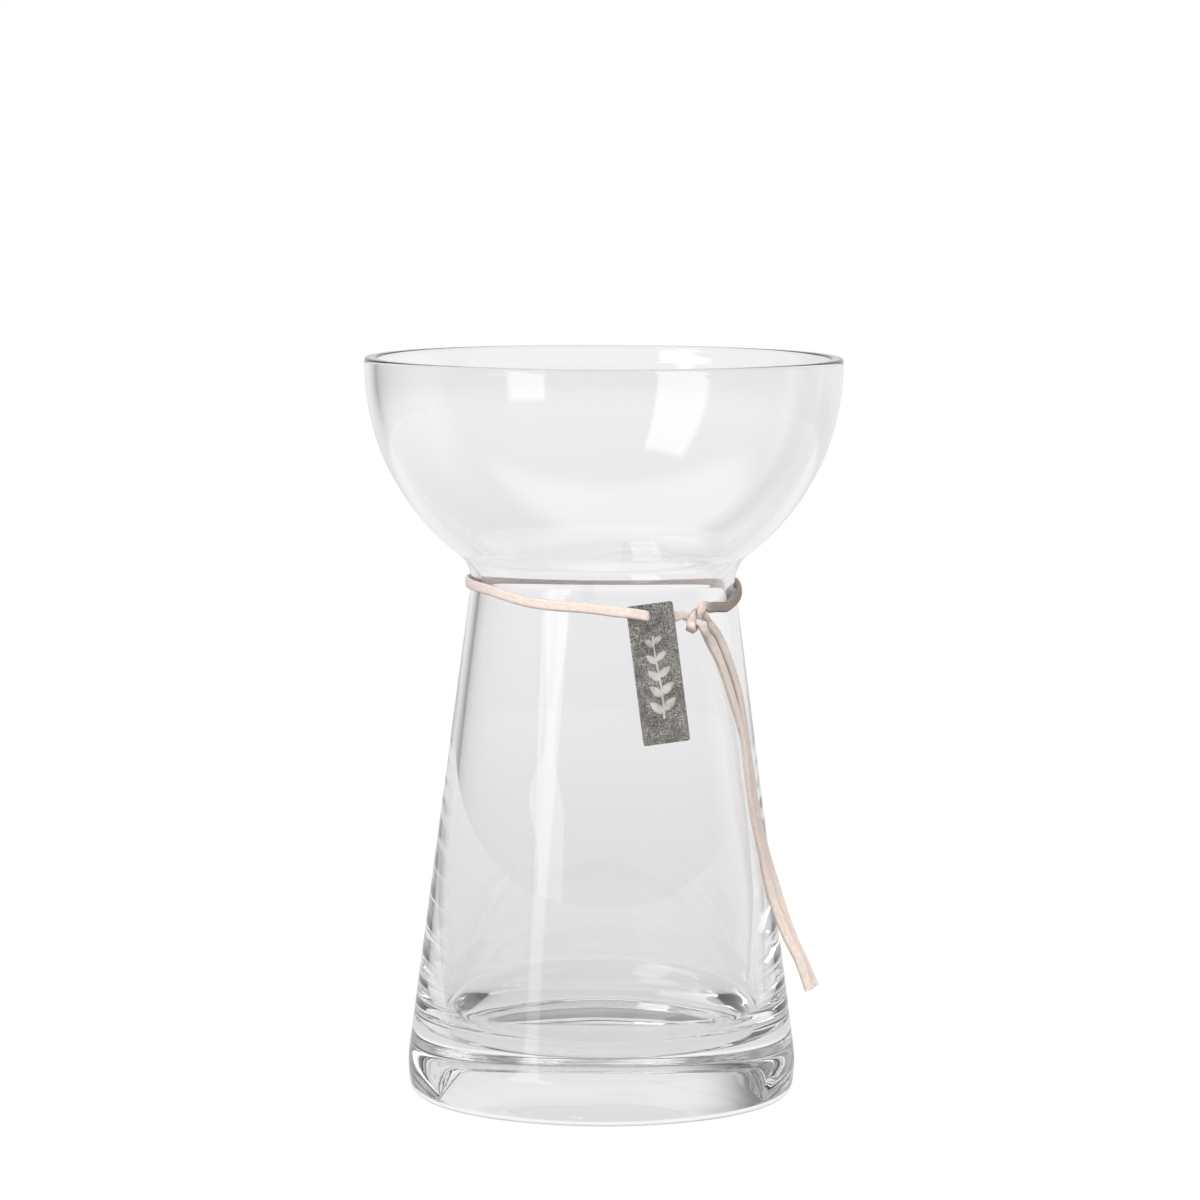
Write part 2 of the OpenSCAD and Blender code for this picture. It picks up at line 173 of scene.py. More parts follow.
class GlassShape:
    """Radii and heights of the vase, worked out from its main sizes."""

    def __init__(self):
        g = settings("vase_glass")
        self.h, self.base = g.height / MM, g.base / MM
        self.bowl_r = g.bowl / MM / 2
        self.bowl_z = self.h - RIM_RISE
        self.bowl_in = self.bowl_r - BOWL_WALL
        self.hollow_x = g.neck / MM / 2 + HOLLOW_R
        self.drop = math.sqrt((self.bowl_r + HOLLOW_R) ** 2 - self.hollow_x ** 2)
        self.neck_z = self.bowl_z - self.drop
        spare = FOOT_ROUND_R - FOOT_EDGE_R
        self.foot_c = (g.foot / MM / 2 - FOOT_ROUND_R, FOOT_EDGE_R + spare * sind(FOOT_TURN))
        self.edge_c = (self.foot_c[0] + spare * cosd(FOOT_TURN), FOOT_EDGE_R)
        dx, dz = self.hollow_x - self.foot_c[0], self.neck_z - self.foot_c[1]
        reach = math.acos((FOOT_ROUND_R + HOLLOW_R) / math.hypot(dx, dz))
        self.cone_a = math.degrees(math.atan2(dz, dx) - reach)
        self.cone_top = (self.hollow_x - HOLLOW_R * cosd(self.cone_a),
                         self.neck_z - HOLLOW_R * sind(self.cone_a))
        self.slope = math.tan(math.radians(self.cone_a))
        self.throat_r = g.neck / MM / 2 - NECK_WALL
        self.throat_hollow = ((self.throat_r ** 2 + self.drop ** 2 - self.bowl_in ** 2)
                              / (2 * (self.bowl_in - self.throat_r)))
        self.corner_z = self.base + FLOOR_CORNER_R

    def outer(self, z):
        if z > self.cone_top[1]:
            return self.hollow_x - math.sqrt(max(0, HOLLOW_R ** 2 - (z - self.neck_z) ** 2))
        return self.cone_top[0] + (self.cone_top[1] - z) * self.slope

    def wall(self, z):
        share = (self.neck_z - z) / (self.neck_z - self.corner_z)
        return NECK_WALL + (CHAMBER_WALL - NECK_WALL) * share ** THICKEN


def arc(cx, cz, r, a0, a1, n):
    return [(cx + r * cosd(a0 + (a1 - a0) * i / n), cz + r * sind(a0 + (a1 - a0) * i / n))
            for i in range(n + 1)]


def glass_profile(s):
    """Half section of the glass from the middle of its underside, out, up, over and down inside."""
    bowl_a = math.degrees(math.atan2(-s.drop, s.hollow_x))
    throat_x = s.throat_r + s.throat_hollow
    bowl_in_a = math.degrees(math.atan2(-s.drop, throat_x))
    rim_a = math.degrees(math.asin(RIM_RISE / s.bowl_r))
    rim_in_a = math.degrees(math.asin(RIM_RISE / s.bowl_in))
    rim_r, rim_in = s.bowl_r * cosd(rim_a), s.bowl_in * cosd(rim_in_a)
    corner_r = s.outer(s.corner_z) - s.wall(s.corner_z)
    n = UNDER_STEPS
    under = [(PUNT_R * i / n, PUNT_DEPTH * (1 - (i / n) ** 2)) for i in range(n + 1)]
    ring = [(PUNT_R + (s.edge_c[0] - PUNT_R) * i / n, 0.0) for i in range(2, n, 2)]
    x0 = s.foot_c[0] + FOOT_ROUND_R * cosd(s.cone_a)
    z0 = s.foot_c[1] + FOOT_ROUND_R * sind(s.cone_a)
    cone = [(x0 + (s.cone_top[0] - x0) * i / CONE_STEPS, z0 + (s.cone_top[1] - z0) * i / CONE_STEPS)
            for i in range(1, CONE_STEPS)]
    down = [s.neck_z + (s.corner_z - s.neck_z) * i / WALL_STEPS for i in range(1, WALL_STEPS)]
    wall = [(s.outer(z) - s.wall(z), z) for z in down]
    floor_r = corner_r - FLOOR_CORNER_R
    return (under + ring
            + arc(*s.edge_c, FOOT_EDGE_R, -90, -FOOT_TURN, 8)
            + arc(*s.foot_c, FOOT_ROUND_R, -FOOT_TURN, s.cone_a, 12)[1:] + cone
            + arc(s.hollow_x, s.neck_z, HOLLOW_R, s.cone_a + 180, bowl_a + 180, 16)
            + arc(0, s.bowl_z, s.bowl_r, bowl_a, 0, 36)[1:]
            + arc(rim_r - RIM_ROUND, s.h - RIM_ROUND, RIM_ROUND, 0, 90, 5)
            + arc(rim_in + RIM_ROUND, s.h - RIM_ROUND, RIM_ROUND, 90, 180, 5)
            + arc(0, s.bowl_z, s.bowl_in, 0, bowl_in_a, 36)[:-1]
            + arc(throat_x, s.neck_z, s.throat_hollow, bowl_in_a + 180, 180, 20)
            + wall + arc(floor_r, s.corner_z, FLOOR_CORNER_R, 0, -90, 16)
            + [(floor_r * (1 - i / n), s.base) for i in range(1, n + 1)])


def ripple(mesh, s):
    """Slow waves in the underside, left by grinding and polishing it."""
    for v in mesh.vertices:
        fade = min(1.0, (s.edge_c[0] - math.hypot(v.co.x, v.co.y) / MM) / RIPPLE_FADE)
        if fade > 0 and v.co.z / MM < PUNT_DEPTH + 0.01:
            v.co.z += RIPPLE * MM * fade * noise.noise(v.co / MM * RIPPLE_TURNS)


# Route of the lace, in millimetres: the stops of the part's source, with a slight sag at the front

LOOP_DROP = 0.4
LOOP_DIP = 7.2
DIP_AZ = 37
DIP_POWER = 6
SAG = 2.1
SAG_AZ = -28
SAG_WIDE = 22
LACE_GAP = 0.3
LEAVE_LEFT = -12
LEAVE_RIGHT = 62
NECK_STOPS = 52
KNOT_AZ = 39
KNOT_LIFT = 2.5
KNOT_TURN = -35
KNOT_LOBE = 1.3
KNOT_WEAVE = 1.22
KNOT_FLAT = 32
KNOT_WIDTHS = (0.77, 0.12)
KNOT_THICK = 0.84
PINCH = (0.73, 0.82)
TAG_AZ = 19
TAG_PROUD = 9.6
TAG_EASE = 1.1
TAG_SWING = 6.6
TAG_STANDOFF = 1.5
TAG_HOLE_DROP = 3.7
TAG_HOLE_D = 4.4
LEFT_STRAND = (370, 360, 348)
RIGHT_STRAND = range(255, 45, -15)
LEFT_TAIL = (
    ((60.4, -18.6, 33.2), (0.34, -0.94, 0.1)),
    ((57.5, -18.2, 41.4), (0.34, -0.94, 0.1)),
    ((53.2, -17.8, 50.2), (0.34, -0.94, 0.1)),
    ((49.0, -17.9, 61.7), (0.5, -0.87, 0.1)),
    ((46.3, -19.0, 73.1), (0.82, -0.57, 0.1)),
    ((43.6, -20.6, 85.0), (0.91, -0.42, 0.1)),
    ((42.0, -21.3, 96.4), (0.9, -0.44, 0.1)),
    ((40.6, -20.9, 107.4), (0.89, -0.46, 0.1)),
    ((37.1, -23.0, 119.5), (0.85, -0.53, 0.1)),
    ((33.5, -25.8, 130.2), (0.79, -0.61, 0.1)),
    ((30.6, -28.6, 136.0), (0.74, -0.67, 0.1)),
)
RIGHT_TAIL = (
    ((33.4, -24.6, 136.6), (0.8, -0.6, 0.1)),
    ((36.1, -22.0, 130.2), (0.85, -0.52, 0.1)),
    ((39.4, -18.8, 119.5), (0.9, -0.43, 0.1)),
    ((41.4, -17.7, 107.4), (0.92, -0.39, 0.1)),
    ((43.0, -17.7, 96.4), (0.92, -0.38, 0.1)),
    ((44.8, -17.2, 85.0), (0.93, -0.36, 0.1)),
    ((47.5, -16.0, 73.1), (0.82, -0.57, 0.1)),
    ((50.8, -15.0, 61.7), (0.5, -0.87, 0.1)),
    ((54.6, -15.6, 50.2), (0.34, -0.94, 0.1)),
    ((58.5, -16.1, 41.4), (0.34, -0.94, 0.1)),
    ((61.9, -16.3, 33.8), (0.34, -0.94, 0.1)),
)
LEFT_EXIT = (((2.2, -3.7, 0.85), (0.2, 0, 1)), ((1.2, -2.6, 1.15), (0.1, 0, 1)))
LEFT_ENTRY = (((-2.7, 0.75, -1.2), (0, 0, 1)), ((-4.1, 1.15, -1.45), (0, 0, 1)),
              ((-5.7, 0.9, -1.85), (-0.1, 0, 1)))
RIGHT_ENTRY = (((5.9, 2.6, -0.6), (0.1, 0, 1)), ((3.5, 3.3, 0.55), (0, 0.1, 1)),
               ((1.75, 2.75, 1.05), (0, 0.1, 1)))
RIGHT_EXIT = ((6.1, -2.9, -0.4), (0.4, 0, 0.9))
LOOP_TO_TAG = ((27.5, 1.0, 0.5), (24.5, 1.0, 0.3))
THROUGH_TAG = ((2.2, -1.72, -0.2), (1.5, -1.55, -0.15), (0.7, -0.8, -0.1), (0, 0, 0),
               (-0.7, 0.8, 0.1), (-1.5, 1.55, 0.2), (-3, 1.75, 0.5), (-7.2, 1.75, 1.2))
PINCHED = (2, 3, 4)
LOOP_FROM_TAG = ((4.5, 2.45, 0), (0, 1.7, 0), (-6, 1.15, 0))
LOOP_TO_KNOT = ((57, 1.3, 0.8), (52, 1.75, 1.7))


def around(az, r, z):
    """A place at angle az round the vase, from the front towards +X."""
    return Vector((r * sind(az), -r * cosd(az), z))


def blend_of(a, b, c, v):
    return a * v[0] + b * v[1] + c * v[2]


class LaceRoute:
    """One run of the lace from the left tail's tip to the right tail's tip."""

    def __init__(self):
        self.shape = s = GlassShape()
        lace = settings("vase_lace")
        self.w, self.t = lace.width / MM, lace.thickness / MM
        z = self.loop_z(KNOT_AZ)
        self.knot_c = around(KNOT_AZ, s.outer(z) + KNOT_LIFT, z)
        hole_z = self.loop_z(TAG_AZ)
        tag_t = settings("vase_tag").thickness / MM
        self.hole = around(TAG_AZ, s.outer(hole_z) + TAG_STANDOFF + tag_t / 2, hole_z)
        self.stops, self.cuts = [], []
        for group in (self.tail(LEFT_TAIL), self.left_knot(), self.loop(), self.right_knot(),
                      self.tail(RIGHT_TAIL)):
            self.stops += group
            self.cuts.append(len(self.stops))
        a, b, c, d, e = self.cuts
        self.stretches = {"tail_left": (0, a), "knot_left": (a, b - 1), "loop": (b - 1, c),
                          "knot_right": (c, d - 1), "tail_right": (d - 1, e - 1)}

    def loop_z(self, az):
        bump = ((1 + cosd(az - DIP_AZ)) / 2) ** DIP_POWER
        sag = SAG * math.exp(-((az - SAG_AZ) / SAG_WIDE) ** 2)
        return self.shape.neck_z - LOOP_DROP - LOOP_DIP * bump - sag

    def on_glass(self, az, lift, rise):
        z = self.loop_z(az) + rise
        return around(az, self.shape.outer(z) + lift, z)

    def knot_dir(self, v):
        a = self.shape.cone_a
        return blend_of(around(KNOT_AZ + 90, 1, 0), around(KNOT_AZ, -sind(a), cosd(a)),
                        around(KNOT_AZ, cosd(a), sind(a)), v)

    def tag_dir(self, v):
        a, lean = TAG_AZ - TAG_PROUD, self.shape.cone_a - TAG_EASE
        return blend_of(around(a + 90, 1, 0), around(a, cosd(lean), sind(lean)),
                        around(a, -sind(lean), cosd(lean)), v)

    def stop(self, p, face, w=1.0, t=1.0):
        return (Vector(p), Vector(face), self.w * w, self.t * t)

    def tail(self, points):
        return [self.stop(p, face) for p, face in points]

    def knot_end(self, e, squeeze=1.0):
        return self.stop(self.knot_c + self.knot_dir(e[0]), self.knot_dir(e[1]), squeeze, squeeze)

    def knot_stop(self, a, side):
        """The knot's figure is a trefoil; the lace turns on its edge round each lobe."""
        turn = Matrix.Rotation(math.radians(KNOT_TURN), 3, "Z")
        p = Vector((KNOT_LOBE * (sind(a) + 2 * sind(2 * a)),
                    KNOT_LOBE * (cosd(a) - 2 * cosd(2 * a)),
                    KNOT_WEAVE * (sind(3 * a) + sind(9 * a) / 3)))
        outside = Vector((4 * sind(2 * a) - sind(a), -cosd(a) - 4 * cosd(2 * a), 0)).normalized()
        flip = 1.5 * (a - 120) - KNOT_FLAT * sind(3 * a)
        face = Vector((0, 0, cosd(flip))) + outside * sind(flip)
        return self.stop(self.knot_c + self.knot_dir(turn @ p), side * self.knot_dir(turn @ face),
                         KNOT_WIDTHS[0] - KNOT_WIDTHS[1] * cosd(3 * a), KNOT_THICK)

    def left_knot(self):
        return ([self.knot_end(LEFT_EXIT[0]), self.knot_end(LEFT_EXIT[1], KNOT_THICK)]
                + [self.knot_stop(a, 1) for a in LEFT_STRAND]
                + [self.knot_end(e, KNOT_THICK) for e in LEFT_ENTRY[:2]]
                + [self.knot_end(LEFT_ENTRY[2])])

    def right_knot(self):
        return ([self.knot_end(RIGHT_ENTRY[0])]
                + [self.knot_end(e, KNOT_THICK) for e in RIGHT_ENTRY[1:]]
                + [self.knot_stop(a, -1) for a in RIGHT_STRAND] + [self.knot_end(RIGHT_EXIT)])

    def uphill(self, p):
        s, az = self.shape, math.degrees(math.atan2(p.x, -p.y))
        lean = math.degrees(math.asin(min(1, (s.neck_z - p.z) / HOLLOW_R)))
        lean = min(s.cone_a, lean)
        return around(az, -sind(lean), cosd(lean))

    def loop(self):
        hugged = 360 + LEAVE_LEFT - LEAVE_RIGHT
        lift = LACE_GAP + self.t / 2
        places = ([self.on_glass(*v) for v in LOOP_TO_TAG]
                  + [self.hole + self.tag_dir(v) for v in THROUGH_TAG]
                  + [self.on_glass(*v) for v in LOOP_FROM_TAG]
                  + [self.on_glass(LEAVE_LEFT - hugged * i / NECK_STOPS, lift, 0)
                     for i in range(NECK_STOPS + 1)]
                  + [self.on_glass(*v) for v in LOOP_TO_KNOT])
        held = [i + len(LOOP_TO_TAG) for i in PINCHED]
        run = [self.knot_end(LEFT_ENTRY[2])[0], *places, self.knot_end(RIGHT_ENTRY[0])[0]]
        stops = []
        for i, p in enumerate(places):
            face = self.uphill(p).cross(run[i + 2] - run[i]).normalized()
            stops.append(self.stop(p, face, *(PINCH if i in held else (1, 1))))
        return stops

    def between(self, i, s):
        """Place, face, width and thickness on the smooth curve, s of the way from stop i."""
        def row(k):
            p, face, w, t = self.stops[k]
            return [*p, *face, w, t]

        def reach(k):
            return (self.stops[k + 1][0] - self.stops[k][0]).length

        def drift(k):
            a, b = max(k - 1, 0), min(k + 1, last)
            span = (reach(k - 1) if k > 0 else 0) + (reach(k) if k < last else 0)
            return [(y - x) / span for x, y in zip(row(a), row(b))]

        last = len(self.stops) - 1
        if i >= last:
            i, s = last - 1, 1.0
        length = reach(i)
        h = (1 - 3 * s ** 2 + 2 * s ** 3, 3 * s ** 2 - 2 * s ** 3,
             length * (s - 2 * s ** 2 + s ** 3), length * (s ** 3 - s ** 2))
        mix = zip(row(i), row(i + 1), drift(i), drift(i + 1))
        q = [sum(k * v for k, v in zip(h, vs)) for vs in mix]
        return Vector(q[:3]), Vector(q[3:6]), q[6], q[7]


RING_POINTS = 24
CORNER = 0.42
NAP_STRETCH = (1.1, 1.7)
NAP_COARSE = (1.3, 0.045)
NAP_FINE = (3.1, 0.03)
EDGE_TEAR = (2.3, 0.05)
EDGE_FROM = 0.75


def lace_section(w, t):
    """Places round the lace's section, an oblong with soft corners."""
    half_w, half_t, r = w / 2, t / 2, t * CORNER
    out = []
    for k in range(RING_POINTS):
        side, j = divmod(k, RING_POINTS // 4)
        sx, sy = ((1, 1), (-1, 1), (-1, -1), (1, -1))[side]
        start = 90 * side
        if j < 3:
            a = start + 90 * j / 2
            out.append((sx * (half_w - r) + r * cosd(a), sy * (half_t - r) + r * sind(a)))
        else:
            u = (j - 2) / 4
            if side % 2 == 0:
                out.append((sx * (half_w - r) * (1 - 2 * u), sy * half_t))
            else:
                out.append((sx * half_w, sy * (half_t - r) * (1 - 2 * u)))
    return out


def lace_rings(route, stretch, fine):
    """Rings of the lace over a stretch: centres, corner places and how far along each ring is."""
    first, last = route.stretches[stretch]
    curve, at = [], []
    for i in range(len(route.stops)):
        pieces = fine if i < len(route.stops) - 1 else 1
        for k in range(pieces):
            curve.append(route.between(i, k / fine))
            at.append(i + k / fine)
    along = [0.0]
    for a, b in zip(curve, curve[1:]):
        along.append(along[-1] + (b[0] - a[0]).length)
    rings = []
    for n, (p, face, w, t) in enumerate(curve):
        if not first - 1e-6 <= at[n] <= last + 1e-6:
            continue
        back = (p - curve[n - 1][0]).normalized() if n > 0 else Vector()
        ahead = (curve[n + 1][0] - p).normalized() if n < len(curve) - 1 else Vector()
        heading = (back + ahead).normalized()
        side = heading.cross(face).normalized()
        out = side.cross(heading)
        places = []
        for x, y in lace_section(w, t):
            u = Vector((along[n] * NAP_STRETCH[0], x * NAP_STRETCH[1], y * NAP_STRETCH[1]))
            rough = sum(deep * noise.noise(u * fine) for fine, deep in (NAP_COARSE, NAP_FINE))
            torn = Vector((along[n] * EDGE_TEAR[0], math.copysign(7, x), 3.0))
            tear = EDGE_TEAR[1] * noise.noise(torn)
            edge = max(0.0, abs(x) / (w / 2) - EDGE_FROM) / (1 - EDGE_FROM)
            push = Vector((x, y * (w / t), 0)).normalized() * (rough + tear * edge)
            places.append(p + side * (x + push.x) + out * (y + push.y))
        rings.append((p, places, along[n]))
    return rings


def sweep(name, runs):
    """Closed strips through runs of rings, with a map along and round the lace."""
    verts, faces, coords, sides = [], [], [], []
    for rings in runs:
        base, n, last = len(verts), RING_POINTS, len(rings) - 1
        for _, places, _ in rings:
            verts += [p * MM for p in places]
        for i in range(last):
            s0, s1 = rings[i][2] * MM, rings[i + 1][2] * MM
            for j in range(n):
                k = (j + 1) % n
                a, b = base + i * n, base + (i + 1) * n
                faces.append((a + j, a + k, b + k, b + j))
                v0, v1 = j / n, (j + 1) / n
                coords.append(((s0, v0), (s0, v1), (s1, v1), (s1, v0)))
        for ring, order in ((0, range(n - 1, -1, -1)), (last, range(n))):
            faces.append(tuple(base + ring * n + j for j in order))
            coords.append([(rings[ring][2] * MM, j / n) for j in order])
    mesh = bpy.data.meshes.new(name)
    mesh.from_pydata(verts, [], faces)
    flat = mesh.uv_layers.new(name="along")
    for poly, uv in zip(mesh.polygons, coords):
        for loop, c in zip(poly.loop_indices, uv):
            flat.data[loop].uv = c
    obj = bpy.data.objects.new(name, mesh)
    bpy.context.scene.collection.objects.link(obj)
    work = bmesh.new()
    work.from_mesh(mesh)
    if work.calc_volume(signed=True) < 0:
        bmesh.ops.reverse_faces(work, faces=work.faces)
    for f in work.faces:
        f.smooth = True
    for e in work.edges:
        if any(len(f.verts) > 4 for f in e.link_faces):
            e.smooth = False
    work.to_mesh(mesh)
    work.free()
    return obj


# Materials


def node(tree, kind, **values):
    """A node with its sockets set; a value that is a socket is linked."""
    n = tree.nodes.new(kind)
    for key, value in values.items():
        if key.startswith("in_"):
            tag = key[3:]
            socket = n.inputs[int(tag) if tag.isdigit() else tag.replace("_", " ")]
            if isinstance(value, bpy.types.NodeSocket):
                tree.links.new(value, socket)
            else:
                socket.default_value = value
        else:
            setattr(n, key, value)
    return n


def maths(tree, operation, a, b=0.0, c=0.0, clamp=False):
    return node(tree, "ShaderNodeMath", operation=operation, use_clamp=clamp,
                in_0=a, in_1=b, in_2=c).outputs[0]


def times(tree, a, b):
    return maths(tree, "MULTIPLY", a, b)


def plus(tree, a, b):
    return maths(tree, "ADD", a, b)


def line(tree, value, slope, start, clamp=False):
    return maths(tree, "MULTIPLY_ADD", value, slope, start, clamp)


def ramp(tree, value, low, high, to_low=0.0, to_high=1.0):
    return node(tree, "ShaderNodeMapRange", interpolation_type="SMOOTHSTEP", in_Value=value,
                in_From_Min=low, in_From_Max=high, in_To_Min=to_low, in_To_Max=to_high).outputs[0]


def mix(tree, share, a, b):
    n = node(tree, "ShaderNodeMix", data_type="RGBA")
    for index, value in ((0, share), (6, a), (7, b)):
        if isinstance(value, bpy.types.NodeSocket):
            tree.links.new(value, n.inputs[index])
        else:
            n.inputs[index].default_value = value if index == 0 or len(value) == 4 else (*value, 1)
    return n.outputs[2]


def choose(tree, share, a, b):
    """Value a where the share is 0, value b where it is 1."""
    rest = maths(tree, "SUBTRACT", 1.0, share)
    return line(tree, share, b, times(tree, rest, a))


def noise_at(tree, where, scale, detail=2.0, rough=0.5):
    return node(tree, "ShaderNodeTexNoise", in_Vector=where, in_Scale=scale, in_Detail=detail,
                in_Roughness=rough).outputs["Fac"]


def blank_tree(owner):
    owner.use_nodes = True
    owner.node_tree.nodes.clear()
    return owner.node_tree


def new_material(name):
    m = bpy.data.materials.new(name)
    tree = blank_tree(m)
    out = tree.nodes.new("ShaderNodeOutputMaterial")
    shader = tree.nodes.new("ShaderNodeBsdfPrincipled")
    tree.links.new(shader.outputs[0], out.inputs[0])
    return m, tree, shader


def grain_group():
    """Speckle and cloud masks from a place: shared by suede, metal and glass."""
    group = bpy.data.node_groups.get("speckle and cloud")
    if group:
        return group
    group = bpy.data.node_groups.new("speckle and cloud", "ShaderNodeTree")
    face = group.interface
    face.new_socket("Place", in_out="INPUT", socket_type="NodeSocketVector")
    for name, default in (("Speckle scale", 4000.0), ("Cloud scale", 300.0)):
        face.new_socket(name, in_out="INPUT", socket_type="NodeSocketFloat").default_value = default
    for name in ("Speckle", "Cloud"):
        face.new_socket(name, in_out="OUTPUT", socket_type="NodeSocketFloat")
    ends = group.nodes.new("NodeGroupInput"), group.nodes.new("NodeGroupOutput")
    place = ends[0].outputs["Place"]
    speckle = noise_at(group, place, ends[0].outputs["Speckle scale"], 3.0, 0.65)
    cloud = noise_at(group, place, ends[0].outputs["Cloud scale"], 2.0, 0.5)
    group.links.new(ramp(group, speckle, 0.32, 0.68), ends[1].inputs["Speckle"])
    group.links.new(ramp(group, cloud, 0.3, 0.7), ends[1].inputs["Cloud"])
    return group


def grain(tree, place, speckle, cloud):
    n = tree.nodes.new("ShaderNodeGroup")
    n.node_tree = grain_group()
    tree.links.new(place, n.inputs["Place"])
    n.inputs["Speckle scale"].default_value = speckle
    n.inputs["Cloud scale"].default_value = cloud
    return n.outputs["Speckle"], n.outputs["Cloud"]


GLASS_GRAIN = (900.0, 16.0)
GLASS_DEEP = 0.985
GLASS_WAVES = 22.0
GLASS_IOR = 1.51
SUEDE_GRAIN = (5200.0, 420.0)
NAP_SCALE = (520.0, 14.0, 1.0)
NAP_BUMP = 0.00012
EDGE_AT = 5 / 6
# Where painted shade darkens the lace, and how dark it gets
PAINTED_SHADE_X = (0.0285, 0.0315)
PAINTED_SHADE_Y = (-0.006, 0.014)
PAINTED_SHADE_Z = (0.1412, 0.1425)
PAINTED_SHADE_DARK = 0.4
PEWTER_GRAIN = (3900.0, 230.0)
PEWTER_BUMP = 0.00014
PEWTER_SHINE = 0.7


def glass_material():
    g = settings("vase_glass")
    m, tree, shader = new_material("clear blown glass")
    place = tree.nodes.new("ShaderNodeTexCoord").outputs["Object"]
    cloud = grain(tree, place, *GLASS_GRAIN)[1]
    tint = mix(tree, cloud, [c * GLASS_DEEP for c in g.tint], g.tint)
    tree.links.new(tint, shader.inputs["Base Color"])
    slow = noise_at(tree, place, GLASS_WAVES, 1.0, 0.4)
    bump = node(tree, "ShaderNodeBump", in_Strength=1.0, in_Distance=g.waves, in_Height=slow)
    tree.links.new(bump.outputs[0], shader.inputs["Normal"])
    shader.inputs["Roughness"].default_value = 0.0
    shader.inputs["IOR"].default_value = GLASS_IOR
    shader.inputs["Transmission Weight"].default_value = 1.0
    return m


def suede_material():
    s = settings("vase_lace")
    m, tree, shader = new_material("brushed suede")
    uv = node(tree, "ShaderNodeUVMap", uv_map="along").outputs[0]
    place = tree.nodes.new("ShaderNodeTexCoord").outputs["Object"]
    speckle, cloud = grain(tree, place, *SUEDE_GRAIN)
    stretched = node(tree, "ShaderNodeMapping", in_Vector=uv, in_Scale=NAP_SCALE).outputs[0]
    nap = noise_at(tree, stretched, 1.0, 3.0, 0.6)
    fibre = ramp(tree, nap, 0.34, 0.66)
    dark = times(tree, line(tree, speckle, -0.5, 0.62, clamp=True), line(tree, fibre, -0.7, 1.1))
    face = mix(tree, dark, s.pale, s.shade)

    # The cut edges lie at two places round the strip
    round_strip = node(tree, "ShaderNodeSeparateXYZ", in_0=uv).outputs[1]
    turn = line(tree, round_strip, 4 * math.pi, -4 * math.pi * EDGE_AT)
    cut = ramp(tree, maths(tree, "COSINE", turn), 0.7, 0.97, 0.0, 0.35)
    cut = times(tree, cut, line(tree, cloud, 0.5, 0.6))

    # Painted shade: the stretch from the knot round the right side faces away from the key light,
    # and its place darkens it
    spot = node(tree, "ShaderNodeSeparateXYZ", in_0=place).outputs
    right = ramp(tree, spot[0], *PAINTED_SHADE_X)
    high = ramp(tree, spot[2], *PAINTED_SHADE_Z)
    near = ramp(tree, spot[1], *PAINTED_SHADE_Y, 1.0, 0.0)
    wear_and_painted_shade = times(tree, times(tree, times(tree, right, high), near),
                   line(tree, speckle, -0.55, 1.0))
    # The painted shade turns the stretch towards a darker cut-edge colour, broken by speckle
    colour = mix(tree, wear_and_painted_shade, mix(tree, cut, face, s.edge), [c * PAINTED_SHADE_DARK for c in s.edge])
    tree.links.new(colour, shader.inputs["Base Color"])
    height = plus(tree, times(tree, speckle, 0.6), times(tree, nap, 0.6))
    bump = node(tree, "ShaderNodeBump", in_Strength=0.8, in_Distance=NAP_BUMP, in_Height=height)
    tree.links.new(bump.outputs[0], shader.inputs["Normal"])
    shader.inputs["Roughness"].default_value = 0.95
    shader.inputs["Specular IOR Level"].default_value = 0.2
    shader.inputs["Sheen Weight"].default_value = 0.25
    shader.inputs["Sheen Roughness"].default_value = 0.6
    return m


def pewter_material():
    t = settings("vase_tag")
    m, tree, shader = new_material("hammered pewter")
    place = tree.nodes.new("ShaderNodeTexCoord").outputs["Object"]
    speckle, cloud = grain(tree, place, *PEWTER_GRAIN)
    worn = node(tree, "ShaderNodeAttribute", attribute_name="raised").outputs["Fac"]
    grit = maths(tree, "POWER", speckle, 2.2)
    # On the tag this share is only wear: rubbed raised metal over patina in the hollows
    wear_and_painted_shade = line(tree, worn, 0.9, times(tree, grit, 0.9))
    wear_and_painted_shade = maths(tree, "MULTIPLY", wear_and_painted_shade, line(tree, cloud, 0.7, 0.65), clamp=True)
    tree.links.new(mix(tree, wear_and_painted_shade, t.patina, t.metal), shader.inputs["Base Color"])
    tree.links.new(line(tree, speckle, -0.15, 0.6), shader.inputs["Roughness"])
    shader.inputs["Metallic"].default_value = PEWTER_SHINE
    bump = node(tree, "ShaderNodeBump", in_Strength=0.7, in_Distance=PEWTER_BUMP, in_Height=speckle)
    tree.links.new(bump.outputs[0], shader.inputs["Normal"])
    return m


# Modelling helpers


def nothing_selected():
    if bpy.context.object and bpy.context.object.mode != "OBJECT":
        bpy.ops.object.mode_set(mode="OBJECT")
    bpy.ops.object.select_all(action="DESELECT")


def dress(obj, material, body, slot, *nodes):
    """Material, body and CAD nodes of a finished piece; the slot argument is not used."""
    obj.data.materials.append(material)
    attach(obj, body)
    if nodes:
        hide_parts(*nodes)
    return obj


def shared(name, make):
    return bpy.data.materials.get(name) or make()


CAMERA_SHIFT = -0.0009
CAMERA_TILT = 5.813
CAMERA_ROLL = 0.2


class VASE_OT_camera(bpy.types.Operator):
    """Add the camera at the photograph's angle"""
    bl_idname = "vase.camera"
    bl_label = "Camera"

    def execute(self, context):
        s = settings("vase_stage")
        camera = bpy.data.objects.new("camera", bpy.data.cameras.new("camera"))
        context.scene.collection.objects.link(camera)
        camera.data.sensor_width = 36
        camera.data.lens = s.lens
        camera.data.clip_start, camera.data.clip_end = 0.05, 50
        camera.matrix_world = (Matrix.Translation((CAMERA_SHIFT, -s.distance, s.eye))
                               @ Matrix.Rotation(math.radians(90 - CAMERA_TILT), 4, "X")
                               @ Matrix.Rotation(math.radians(CAMERA_ROLL), 4, "Z"))
        context.scene.camera = camera
        return {"FINISHED"}


